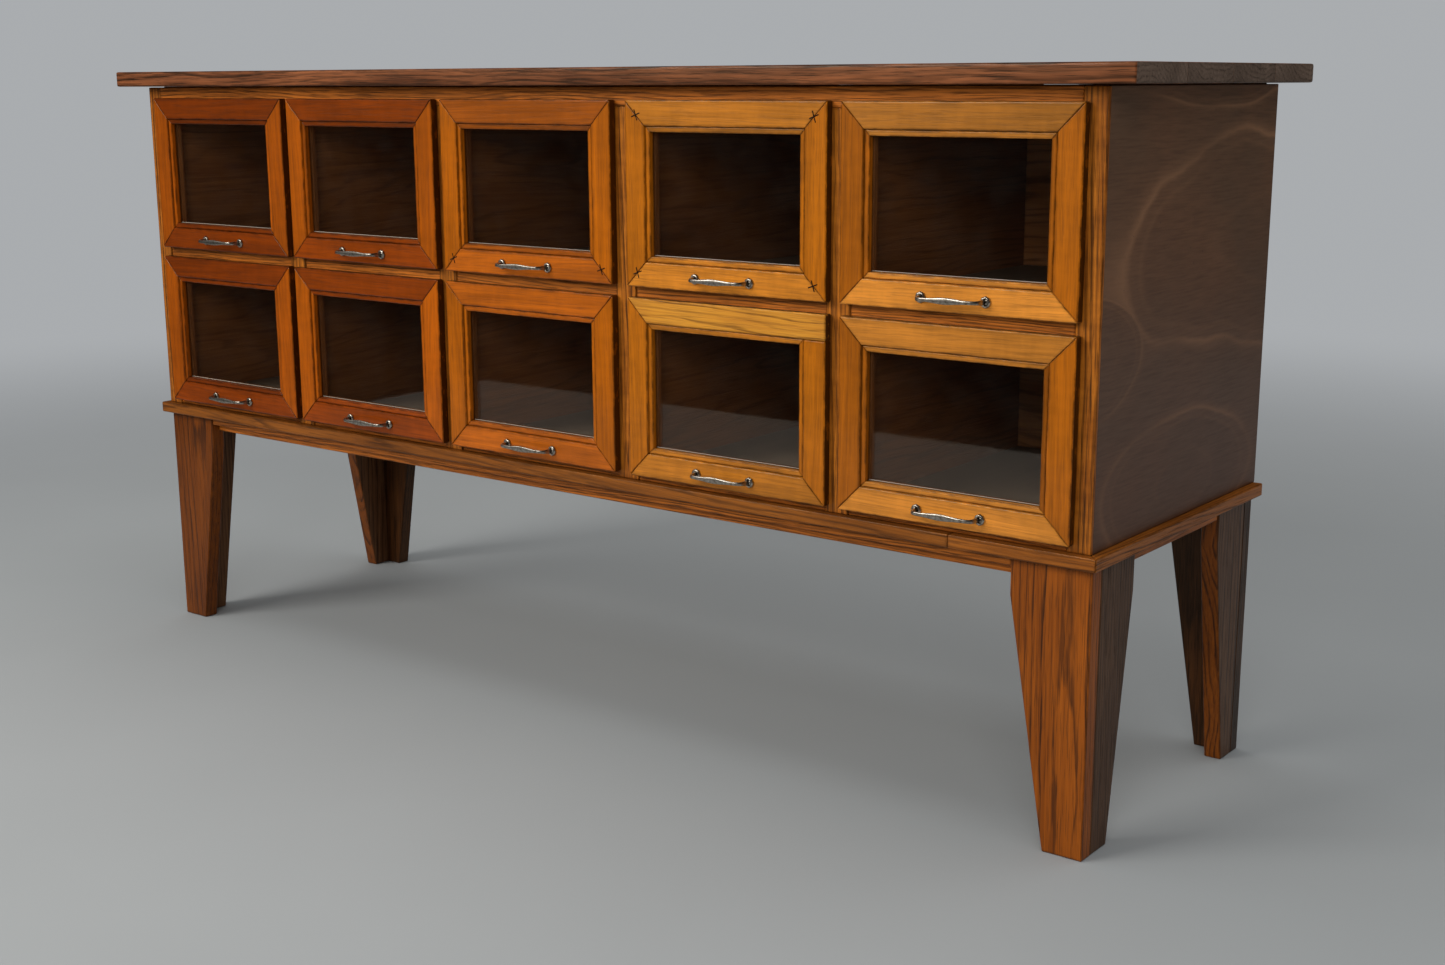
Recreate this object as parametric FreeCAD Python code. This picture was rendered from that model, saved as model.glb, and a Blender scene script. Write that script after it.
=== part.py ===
import FreeCAD, Part
import math
import os

# Haberdashery shop counter: ten glass-fronted drawers in a framed wooden carcass,
# on a base board with four tapered, L-shaped legs. All lengths are in millimetres.
# X runs along the counter, Y from front to back, Z up. The origin is on the floor,
# under the middle of the counter's bounding box.

Vec = FreeCAD.Vector

# ---------------------------------------------------------------- driving dimensions
CARCASS_W = 1800.0         # over the side panels
DEPTH = 509.0              # face frame front to back panel rear
LEG_H = 375.6              # floor to base board
BASE_T = 17.8              # base board and its edging
CARCASS_H = 548.1          # base board to the top of the side panels
TOP_GAP = 1.5              # the cleats hold the top this far off the carcass
TOP_T = 24.5
TOP_SIDE_OVERHANG = 46.6
TOP_FRONT_OVERHANG = 31.2
TOP_BOARDS = 4             # boards glued edge to edge
BASE_SIDE_OVERHANG = 12.3
BASE_FRONT_OVERHANG = 10.4
EDGING_W = 40.0            # width of the mitred strips round the base board
EDGING_SPLICE_X = 709.0    # the front strip is spliced here

SIDE_T = 12.0
BACK_T = 6.0
PANEL_T = 16.0             # divider panels
FRAME_T = 20.0             # face frame
CORNER_STILE_W = 32.0
CORNER_LIP = 4.0           # the corner stile covers the panel's front edge by this
STILE_W = 36.0
RAIL_RECESS = 2.0          # rails sit behind the face of the stiles

FRONT_W = 334.0            # drawer fronts
FRONT_H = 253.0
FRONT_T = 13.7
FRONT_STANDOFF = 0.3       # running gap between a closed front and the face frame
LIP = 9.0                  # the front covers the face frame by this on each edge
MEMBER_W = 35.0            # mitred members
BEAD_W = 8.0               # glazing beads
BEAD_SETBACK = 2.0
GLASS_T = 3.0
COLUMN_CENTRES = (-702.5, -355.0, -4.0, 357.0, 711.0)
ROW_BOTTOMS = {"bottom": 403.0, "top": 671.0}

BOX_W = 310.0              # drawer box
BOX_H = 225.0
BOX_DEPTH = 440.0          # face frame front to the outside of the drawer's back
BOX_SIDE_T = 10.0
BOX_BACK_T = 10.0
BOX_FLOOR_T = 5.0
SUBFRAME_T = 8.5           # frame behind the glass that carries the box
BOX_LIFT = 10.0            # underside of the box above the front's lower edge
SIDE_PLAY = 1.0            # between a drawer and its guides
RUN_PLAY = 0.4             # between a drawer and its runners

RUNNER_LEDGE = 18.6
GUIDE_H = 22.0

HANDLE_CENTRES = 87.0
HANDLE_Z = 17.0            # above the front's lower edge
HANDLE_BOW = 22.0          # how far the grip stands out from the front
HANDLE_GRIP_T = 3.2
HANDLE_NECK = 2.2          # half the strap's height where it is narrowest
HANDLE_BELLY = 4.5         # and in its middle
HANDLE_ROOT = 3.6          # and where it meets the pads
HANDLE_PAD_SIDES = 8
HANDLE_PAD_R = 6.6
HANDLE_PAD_T = 3.2
SCREW_R = 1.7
SCREW_HEAD_R = 3.4
SCREW_HEAD_T = 1.9
SCREW_SLOT = 0.9           # width and depth of the slot
SCREW_L = 12.0

LEG_BOARD_T = 25.0
LEG_SIDE_PROUD = 2.0       # leg faces against the side panels
LEG_FRONT_SETBACK = 4.0
LEG_REAR_SETBACK = 11.0
LEG_STRAIGHT_H = 50.0      # upper stretch before the taper starts
LEG_FACE_W = (111.0, 55.0)        # front and rear boards: at the top, at the floor
LEG_FRONT_SIDE_W = (117.0, 68.0)  # side boards of the front legs
LEG_REAR_SIDE_W = (115.0, 58.0)   # side boards of the rear legs
FACING_H = 13.6
FACING_T = 12.0
APRON_H = 25.6
APRON_T = 22.0
RAIL_SETBACK = 2.0         # apron rails and facing behind the faces of the legs
BLOCK_W = 30.0
BLOCK_H = 24.0

CLEAT_W = 40.0
CLEAT_H = 19.5
CLEAT_FRONT_GAP = 2.0      # to the face frame
CLEAT_REAR_GAP = 3.0       # to the back panel
TOP_SCREW_HEAD_R = 4.2
TOP_SCREW_HEAD_H = 3.0
TOP_SCREW_R = 2.1
TOP_SCREW_L = 36.0
TOP_SCREW_CLEARANCE = 6.0  # from the face of the divider panel below

TOP_ARRIS_R = 2.5
LEG_ARRIS_R = 1.5

# ---------------------------------------------------------------- derived levels
REACH = FRONT_T + FRONT_STANDOFF + HANDLE_BOW    # grip in front of the face frame
FACE = (REACH - DEPTH) / 2                       # y of the face frame's front
REAR = FACE + DEPTH
HALF = CARCASS_W / 2
BASE_TOP = LEG_H + BASE_T
CARCASS_TOP = BASE_TOP + CARCASS_H
TOP_UNDER = CARCASS_TOP + TOP_GAP
TOP_LEVEL = TOP_UNDER + TOP_T
INNER_HALF = HALF - SIDE_T
CORNER_JOINT = HALF - CORNER_STILE_W
PANEL_TOP = TOP_UNDER - CLEAT_H
UPPER_OPENING_TOP = ROW_BOTTOMS["top"] + FRONT_H - LIP
STILE_CENTRES = [
    (left + right) / 2 for left, right in zip(COLUMN_CENTRES, COLUMN_CENTRES[1:])
]


# ---------------------------------------------------------------- helpers
def block(x, y, z):
    """A plain box given as three (low, high) pairs."""
    size = Vec(x[1] - x[0], y[1] - y[0], z[1] - z[0])
    return Part.makeBox(size.x, size.y, size.z, Vec(x[0], y[0], z[0]))


def prism(points, direction):
    """A closed outline, extruded."""
    outline = Part.makePolygon([Vec(*p) for p in points] + [Vec(*points[0])])
    return Part.Face(outline).extrude(Vec(*direction))


def mirrored_x(shape):
    return shape.mirror(Vec(0, 0, 0), Vec(1, 0, 0))


def write(node, solids):
    """One node per file. Several pieces of one node stay separate solids."""
    shape = solids[0] if len(solids) == 1 else Part.makeCompound(solids)
    shape.exportStep("parts/%s.step" % node)


# ---------------------------------------------------------------- top
def top_boards():
    y_front = FACE - TOP_FRONT_OVERHANG
    width = (REAR - y_front) / TOP_BOARDS
    half = HALF + TOP_SIDE_OVERHANG
    boards = []
    for i in range(TOP_BOARDS):
        y = (y_front + i * width, y_front + (i + 1) * width)
        boards.append(block((-half, half), y, (TOP_UNDER, TOP_LEVEL)))
    for i, y_edge in ((0, y_front), (TOP_BOARDS - 1, REAR)):
        picked = [e for e in boards[i].Edges if all(abs(v.Y - y_edge) < 0.01 for v in e.Vertexes)]
        boards[i] = boards[i].makeFillet(TOP_ARRIS_R, picked)
    return boards


def cleat_centres():
    side = INNER_HALF - CLEAT_W / 2
    return [-side] + STILE_CENTRES + [side]


def top_cleats():
    y = (FACE + FRAME_T + CLEAT_FRONT_GAP, REAR - BACK_T - CLEAT_REAR_GAP)
    half = CLEAT_W / 2
    return [block((c - half, c + half), y, (PANEL_TOP, TOP_UNDER)) for c in cleat_centres()]


def top_screws():
    """Countersunk screws up through the cleats, clear of the panels below them."""
    offset = PANEL_T / 2 + TOP_SCREW_CLEARANCE
    shares_of_depth = (0.2, 0.8)
    screws = []
    for centre in cleat_centres():
        inward = -offset if centre > 0 else offset
        for share in shares_of_depth:
            at = Vec(centre + inward, FACE + share * DEPTH, PANEL_TOP)
            head = Part.makeCone(TOP_SCREW_HEAD_R, TOP_SCREW_R, TOP_SCREW_HEAD_H, at)
            shank = Part.makeCylinder(TOP_SCREW_R, TOP_SCREW_L, at)
            screws.append(head.fuse(shank).removeSplitter())
    return screws


# ---------------------------------------------------------------- carcass
def side_panel():
    return block((INNER_HALF, HALF), (FACE + CORNER_LIP, REAR), (BASE_TOP, CARCASS_TOP))


def back_panel():
    return block((-INNER_HALF, INNER_HALF), (REAR - BACK_T, REAR), (BASE_TOP, CARCASS_TOP))


def corner_stile():
    """Rebated at the back, so that it covers the front edge of the side panel."""
    points = [
        (CORNER_JOINT, FACE, BASE_TOP),
        (HALF, FACE, BASE_TOP),
        (HALF, FACE + CORNER_LIP, BASE_TOP),
        (INNER_HALF, FACE + CORNER_LIP, BASE_TOP),
        (INNER_HALF, FACE + FRAME_T, BASE_TOP),
        (CORNER_JOINT, FACE + FRAME_T, BASE_TOP),
    ]
    return prism(points, (0, 0, CARCASS_TOP - BASE_TOP))


def face_frame_stiles():
    right = corner_stile()
    stiles = [mirrored_x(right), right]
    for centre in STILE_CENTRES:
        x = (centre - STILE_W / 2, centre + STILE_W / 2)
        stiles.append(block(x, (FACE, FACE + FRAME_T), (BASE_TOP, UPPER_OPENING_TOP)))
    return stiles


def top_rail():
    x = (-CORNER_JOINT, CORNER_JOINT)
    return block(x, (FACE, FACE + FRAME_T), (UPPER_OPENING_TOP, CARCASS_TOP))


def rail_segments(z):
    """One rail in each column, between the stiles."""
    edges = [-CORNER_JOINT]
    for centre in STILE_CENTRES:
        edges += [centre - STILE_W / 2, centre + STILE_W / 2]
    edges.append(CORNER_JOINT)
    y = (FACE + RAIL_RECESS, FACE + FRAME_T)
    return [block((edges[i], edges[i + 1]), y, z) for i in range(0, len(edges), 2)]


def mid_rails():
    low = ROW_BOTTOMS["bottom"] + FRONT_H - LIP
    return rail_segments((low, ROW_BOTTOMS["top"] + LIP))


def bottom_rails():
    return rail_segments((BASE_TOP, ROW_BOTTOMS["bottom"] + LIP))


def divider_panels():
    y = (FACE + FRAME_T, REAR - BACK_T)
    half = PANEL_T / 2
    return [block((c - half, c + half), y, (BASE_TOP, PANEL_TOP)) for c in STILE_CENTRES]


def drawer_runners():
    """On each side of every drawer, a ledge that carries it and a guide strip on the ledge."""
    walls = [-INNER_HALF]
    for centre in STILE_CENTRES:
        walls += [centre - PANEL_T / 2, centre + PANEL_T / 2]
    walls.append(INNER_HALF)
    y = (FACE + FRAME_T, FACE + BOX_DEPTH)
    strips = []
    for row in ("bottom", "top"):
        ledge_top = ROW_BOTTOMS[row] + BOX_LIFT - RUN_PLAY
        for i, centre in enumerate(COLUMN_CENTRES):
            for side, wall in ((-1, walls[2 * i]), (1, walls[2 * i + 1])):
                guide = centre + side * (BOX_W / 2 + SIDE_PLAY)
                inner = centre + side * (BOX_W / 2 - BOX_SIDE_T)
                ledge_x = (min(wall, inner), max(wall, inner))
                guide_x = (min(wall, guide), max(wall, guide))
                strips.append(block(ledge_x, y, (ledge_top - RUNNER_LEDGE, ledge_top)))
                strips.append(block(guide_x, y, (ledge_top, ledge_top + GUIDE_H)))
    return strips


# ---------------------------------------------------------------- base
def bottom_board():
    half = HALF + BASE_SIDE_OVERHANG - EDGING_W
    y = (FACE - BASE_FRONT_OVERHANG + EDGING_W, REAR)
    return block((-half, half), y, (LEG_H, BASE_TOP))


def base_edging():
    """Strips round the front and sides of the base board, mitred at the front corners."""
    outer = HALF + BASE_SIDE_OVERHANG
    front = FACE - BASE_FRONT_OVERHANG
    inner = outer - EDGING_W
    back = front + EDGING_W
    up = (0, 0, BASE_T)
    splice = EDGING_SPLICE_X
    long_strip = prism(
        [(-outer, front, LEG_H), (splice, front, LEG_H), (splice, back, LEG_H), (-inner, back, LEG_H)], up
    )
    short_strip = prism(
        [(splice, front, LEG_H), (outer, front, LEG_H), (inner, back, LEG_H), (splice, back, LEG_H)], up
    )
    side = prism(
        [(outer, front, LEG_H), (outer, REAR, LEG_H), (inner, REAR, LEG_H), (inner, back, LEG_H)], up
    )
    return [long_strip, short_strip, mirrored_x(side), side]


def apron_rails():
    """Rails under the base board, between the legs. The front one has a shallow facing strip."""
    outer = HALF + LEG_SIDE_PROUD
    inner = outer - LEG_FACE_W[0]
    front = FACE + LEG_FRONT_SETBACK
    rear = REAR - LEG_REAR_SETBACK
    facing_y = (front + RAIL_SETBACK, front + RAIL_SETBACK + FACING_T)
    facing = block((-inner, inner), facing_y, (LEG_H - FACING_H, LEG_H))
    apron_y = (facing_y[1], facing_y[1] + APRON_T)
    apron = block((-inner, inner), apron_y, (LEG_H - APRON_H, LEG_H))
    back_y = (rear - RAIL_SETBACK - APRON_T, rear - RAIL_SETBACK)
    back = block((-inner, inner), back_y, (LEG_H - APRON_H, LEG_H))
    side_y = (front + LEG_FRONT_SIDE_W[0], rear - LEG_REAR_SIDE_W[0])
    side_x = (outer - RAIL_SETBACK - APRON_T, outer - RAIL_SETBACK)
    side = block(side_x, side_y, (LEG_H - FACING_H, LEG_H))
    return [facing, apron, back, mirrored_x(side), side]


def tapered_outline(width):
    """Leg board outline as (distance from the outer edge, height)."""
    top, floor = width
    return [(0, 0), (floor, 0), (top, LEG_H - LEG_STRAIGHT_H), (top, LEG_H), (0, LEG_H)]


def leg(face_y, inward, side_width):
    """Right-hand leg. The face board covers the end of the side board; inward is +1 for a
    front leg, whose side board runs back from it, and -1 for a rear leg."""
    outer = HALF + LEG_SIDE_PROUD
    face = prism([(outer - d, face_y, z) for d, z in tapered_outline(LEG_FACE_W)],
                 (0, inward * LEG_BOARD_T, 0))
    outline = tapered_outline(side_width)
    side = prism([(outer, face_y + inward * max(d, LEG_BOARD_T), z) for d, z in outline],
                 (-LEG_BOARD_T, 0, 0))
    solids = []
    for solid in (face, side):
        upright = [e for e in solid.Edges if e.BoundBox.ZLength > LEG_STRAIGHT_H - LEG_ARRIS_R]
        solids.append(solid.makeFillet(LEG_ARRIS_R, upright))
    return solids


def corner_blocks():
    outer = HALF + LEG_SIDE_PROUD - LEG_BOARD_T
    front = FACE + LEG_FRONT_SETBACK + LEG_BOARD_T
    rear = REAR - LEG_REAR_SETBACK - LEG_BOARD_T
    z = (LEG_H - BLOCK_H, LEG_H)
    x = (outer - BLOCK_W, outer)
    right = [block(x, (front, front + BLOCK_W), z), block(x, (rear - BLOCK_W, rear), z)]
    return right + [mirrored_x(b) for b in right]


# ---------------------------------------------------------------- drawers
# Each drawer is drawn with the lower left corner of its front at x = 0, z = 0 and the
# face frame at y = 0, and then moved to its place.
FRONT_Y = -(FRONT_T + FRONT_STANDOFF)
SIGHT = MEMBER_W + BEAD_W
GLASS_Y = (-FRONT_STANDOFF - GLASS_T, -FRONT_STANDOFF)


def mitred_frame(margin, width, y):
    """Four strips round a rectangle that lies margin inside the front, mitred at the corners."""
    x0, x1, z0, z1 = margin, FRONT_W - margin, margin, FRONT_H - margin
    outer = [(x0, z0), (x1, z0), (x1, z1), (x0, z1)]
    inner = [(x0 + width, z0 + width), (x1 - width, z0 + width),
             (x1 - width, z1 - width), (x0 + width, z1 - width)]
    strips = []
    for i in range(4):
        j = (i + 1) % 4
        corners = [outer[i], outer[j], inner[j], inner[i]]
        strips.append(prism([(x, y[0], z) for x, z in corners], (0, y[1] - y[0], 0)))
    return strips


def drawer_front():
    members = mitred_frame(0, MEMBER_W, (FRONT_Y, -FRONT_STANDOFF))
    beads = mitred_frame(MEMBER_W, BEAD_W, (FRONT_Y + BEAD_SETBACK, GLASS_Y[0]))
    return members + beads


def drawer_glass():
    return block((MEMBER_W, FRONT_W - MEMBER_W), GLASS_Y, (MEMBER_W, FRONT_H - MEMBER_W))


def drawer_box():
    x0 = (FRONT_W - BOX_W) / 2
    x1 = FRONT_W - x0
    z0 = BOX_LIFT
    z1 = z0 + BOX_H
    y0 = -FRONT_STANDOFF
    y1 = y0 + SUBFRAME_T
    upper = FRONT_H - SIGHT
    solids = [
        block((x0, SIGHT), (y0, y1), (z0, z1)),
        block((FRONT_W - SIGHT, x1), (y0, y1), (z0, z1)),
        block((SIGHT, FRONT_W - SIGHT), (y0, y1), (z0, SIGHT)),
        block((SIGHT, FRONT_W - SIGHT), (y0, y1), (upper, z1)),
    ]
    left_inner = x0 + BOX_SIDE_T
    right_inner = x1 - BOX_SIDE_T
    back_y = BOX_DEPTH - BOX_BACK_T
    floor_top = z0 + BOX_FLOOR_T
    solids.append(block((x0, left_inner), (y1, BOX_DEPTH), (z0, z1)))
    solids.append(block((right_inner, x1), (y1, BOX_DEPTH), (z0, z1)))
    solids.append(block((left_inner, right_inner), (back_y, BOX_DEPTH), (floor_top, z1)))
    solids.append(block((left_inner, right_inner), (y1, BOX_DEPTH), (z0, floor_top)))
    return solids


def smooth_curve(points):
    curve = Part.BSplineCurve()
    curve.interpolate(points)
    return curve


def bow_curve(half, rise, direction):
    """A spline over the bow: it leaves the pads at a slant and is flattest in the middle."""
    stations = 12
    fullness = 0.8
    points = []
    for k in range(stations + 1):
        x = half * direction * (2 * k / stations - 1)
        swell = abs(math.cos(math.pi * x / (2 * half))) ** fullness
        points.append(Vec(x, FRONT_Y - HANDLE_PAD_T - rise * swell, 0))
    return smooth_curve(points)


def leaf_curve(end, sign, direction):
    """One edge of the strap seen from the front: narrow necks, a wide belly, wide ends."""
    neck_at, shoulder_at = 0.72 * end, 0.3 * end
    shoulder = 0.9 * HANDLE_BELLY
    shape = [(-end, HANDLE_ROOT), (-neck_at, HANDLE_NECK), (-shoulder_at, shoulder), (0, HANDLE_BELLY),
             (shoulder_at, shoulder), (neck_at, HANDLE_NECK), (end, HANDLE_ROOT)]
    return smooth_curve([Vec(direction * x, 0, sign * z) for x, z in shape])


def closed_face(first, second):
    """The face between two open curves that run opposite ways."""
    side_a = Part.LineSegment(first.EndPoint, second.StartPoint)
    side_b = Part.LineSegment(second.EndPoint, first.StartPoint)
    return Part.Face(Part.Wire([c.toShape() for c in (first, side_a, second, side_b)]))


def handle_grip():
    """A bowed strap: its plan gives the bow, its elevation the leaf shape of the grip."""
    half = HANDLE_CENTRES / 2
    rise = HANDLE_BOW - HANDLE_PAD_T
    outer_spread, inner_spread, leaf_spread = 1.5, -3.5, 6.0
    outer = bow_curve(half + outer_spread, rise, 1)
    inner = bow_curve(half + inner_spread, rise - HANDLE_GRIP_T, -1)
    height = 4 * HANDLE_BELLY
    plan = closed_face(outer, inner).extrude(Vec(0, 0, height))
    plan.translate(Vec(0, 0, -height / 2))
    end = half + leaf_spread
    leaf = closed_face(leaf_curve(end, 1, 1), leaf_curve(end, -1, -1))
    leaf = leaf.extrude(Vec(0, 2 * (FRONT_Y - HANDLE_BOW), 0))
    return plan.common(leaf)


def foot_pad(cx):
    ring = []
    for k in range(HANDLE_PAD_SIDES):
        angle = 2 * math.pi * (k + 0.5) / HANDLE_PAD_SIDES
        ring.append((cx + HANDLE_PAD_R * math.cos(angle), FRONT_Y, HANDLE_PAD_R * math.sin(angle)))
    return prism(ring, (0, -HANDLE_PAD_T, 0))


def handle_screw(cx):
    """Its slotted head sits in the pad's recess, on the drawer front, and its shank in the wood."""
    inward = Vec(0, 1, 0)
    head = Part.makeCylinder(SCREW_HEAD_R, SCREW_HEAD_T, Vec(cx, FRONT_Y - SCREW_HEAD_T, 0), inward)
    corner = Vec(cx - SCREW_HEAD_R - 1, FRONT_Y - SCREW_HEAD_T, -SCREW_SLOT / 2)
    slot = Part.makeBox(2 * SCREW_HEAD_R + 2, SCREW_SLOT, SCREW_SLOT, corner)
    shank = Part.makeCylinder(SCREW_R, SCREW_L, Vec(cx, FRONT_Y, 0), inward)
    return head.cut(slot).fuse(shank).removeSplitter()


def drawer_handle():
    """Bow handle with eight-sided foot pads and two screws."""
    recess_r = SCREW_HEAD_R + 0.2
    pad_offset, screw_offset = 2.0, 3.5
    metal = handle_grip()
    screws = []
    for side in (-1, 1):
        metal = metal.fuse(foot_pad(side * (HANDLE_CENTRES / 2 + pad_offset)))
        cx = side * (HANDLE_CENTRES / 2 + screw_offset)
        recess = Part.makeCylinder(recess_r, 2 * HANDLE_BOW, Vec(cx, FRONT_Y, 0), Vec(0, -1, 0))
        metal = metal.cut(recess)
        screws.append(handle_screw(cx))
    solids = list(metal.removeSplitter().Solids) + screws
    for solid in solids:
        solid.translate(Vec(FRONT_W / 2, 0, HANDLE_Z))
    return solids


# ---------------------------------------------------------------- write the nodes
def main():
    os.makedirs("parts", exist_ok=True)
    write("top_boards", top_boards())
    write("top_cleats", top_cleats())
    write("top_screws", top_screws())
    right_panel = side_panel()
    write("side_panel_right", [right_panel])
    write("side_panel_left", [mirrored_x(right_panel)])
    write("back_panel", [back_panel()])
    write("face_frame_stiles", face_frame_stiles())
    write("top_rail", [top_rail()])
    write("mid_rails", mid_rails())
    write("bottom_rails", bottom_rails())
    write("divider_panels", divider_panels())
    write("drawer_runners", drawer_runners())
    write("bottom_board", [bottom_board()])
    write("base_edging", base_edging())
    write("apron_rails", apron_rails())
    front_leg = leg(FACE + LEG_FRONT_SETBACK, 1, LEG_FRONT_SIDE_W)
    rear_leg = leg(REAR - LEG_REAR_SETBACK, -1, LEG_REAR_SIDE_W)
    for name, boards in (("front", front_leg), ("rear", rear_leg)):
        write("leg_%s_right" % name, boards)
        write("leg_%s_left" % name, [mirrored_x(b) for b in boards])
    write("leg_corner_blocks", corner_blocks())

    pieces = {
        "front": drawer_front(),
        "glass": [drawer_glass()],
        "box": drawer_box(),
        "handle": drawer_handle(),
    }
    for row, bottom in ROW_BOTTOMS.items():
        for number, centre in enumerate(COLUMN_CENTRES, start=1):
            move = Vec(centre - FRONT_W / 2, FACE, bottom)
            for piece, solids in pieces.items():
                placed = [s.translated(move) for s in solids]
                write("drawer_%s_%d_%s" % (row, number, piece), placed)


main()
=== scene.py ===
import math

import bpy
import numpy as np
from mathutils import Matrix, Vector


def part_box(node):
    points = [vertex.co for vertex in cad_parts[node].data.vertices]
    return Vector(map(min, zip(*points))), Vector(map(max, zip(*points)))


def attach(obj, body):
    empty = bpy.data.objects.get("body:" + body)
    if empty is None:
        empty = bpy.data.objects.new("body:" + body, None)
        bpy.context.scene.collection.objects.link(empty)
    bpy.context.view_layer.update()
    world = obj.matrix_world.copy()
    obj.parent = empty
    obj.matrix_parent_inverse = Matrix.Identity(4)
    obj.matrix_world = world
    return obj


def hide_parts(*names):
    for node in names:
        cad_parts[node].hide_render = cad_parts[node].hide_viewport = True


# Haberdashery shop counter with ten glass-fronted drawers. Metres, in the CAD model's frame:
# X along the counter, -Y to the front, Z up.

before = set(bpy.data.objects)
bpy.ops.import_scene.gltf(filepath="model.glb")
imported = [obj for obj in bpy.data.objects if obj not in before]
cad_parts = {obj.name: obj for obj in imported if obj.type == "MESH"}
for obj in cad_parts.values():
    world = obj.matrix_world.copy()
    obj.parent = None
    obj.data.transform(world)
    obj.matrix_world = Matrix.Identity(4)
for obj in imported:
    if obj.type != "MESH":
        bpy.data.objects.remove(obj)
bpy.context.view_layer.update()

COLUMNS = range(1, 6)
ROWS = ("top", "bottom")


# ================================================================ shader helpers
class Nodes:
    """Adds nodes to one material and links whatever is a socket."""

    def __init__(self, name):
        self.material = bpy.data.materials.new(name)
        self.material.use_nodes = True
        self.tree = self.material.node_tree
        self.tree.nodes.clear()
        self.output = self.tree.nodes.new("ShaderNodeOutputMaterial")

    def add(self, kind, inputs=None, **props):
        node = self.tree.nodes.new("ShaderNode" + kind)
        for key, value in props.items():
            setattr(node, key, value)
        for key, value in (inputs or {}).items():
            if isinstance(value, bpy.types.NodeSocket):
                self.tree.links.new(value, node.inputs[key])
            else:
                node.inputs[key].default_value = value
        return node

    def math(self, operation, *values):
        return self.add("Math", dict(enumerate(values)), operation=operation).outputs[0]

    def vmath(self, operation, *values):
        return self.add("VectorMath", dict(enumerate(values)), operation=operation).outputs[0]

    def scaled(self, vector, scale):
        return self.vmath("MULTIPLY", vector, scale)

    def noise(self, vector, stretch, detail=2.0, roughness=0.5):
        """Noise whose spots per metre along each axis are given by stretch."""
        inputs = {"Vector": self.scaled(vector, stretch), "Scale": 1.0, "Detail": detail,
                  "Roughness": roughness}
        return self.add("TexNoise", inputs).outputs["Fac"]

    def centred(self, value):
        """A value around 0.5, moved to lie around 0."""
        return self.math("SUBTRACT", value, 0.5)

    def ramp(self, fac, *stops):
        """A colour ramp from (position, value or colour) stops."""
        node = self.add("ValToRGB", {"Fac": fac})
        elements = node.color_ramp.elements
        while len(elements) < len(stops):
            elements.new(0.5)
        for element, (position, value) in zip(elements, stops):
            element.position = position
            if isinstance(value, (int, float)):
                value = (value,) * 3
            element.color = (*value, 1.0)
        return node.outputs["Color"]

    def mix(self, fac, a, b, blend="MIX"):
        node = self.add("Mix", data_type="RGBA", blend_type=blend)
        for index, value in ((0, fac), (6, a), (7, b)):
            if isinstance(value, bpy.types.NodeSocket):
                self.tree.links.new(value, node.inputs[index])
            elif index == 0:
                node.inputs[index].default_value = value
            else:
                node.inputs[index].default_value = (*value, 1.0)
        return node.outputs[2]

    def attribute(self, name, output="Fac"):
        return self.add("Attribute", attribute_name=name).outputs[output]

    def bump(self, height, strength, distance):
        inputs = {"Height": height, "Strength": strength, "Distance": distance}
        return self.add("Bump", inputs).outputs[0]

    def finish(self, kind, inputs):
        """Adds the last shader node, gives it to the output and returns the material."""
        shader = self.add(kind, inputs)
        self.tree.links.new(shader.outputs[0], self.output.inputs["Surface"])
        return self.material


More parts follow.
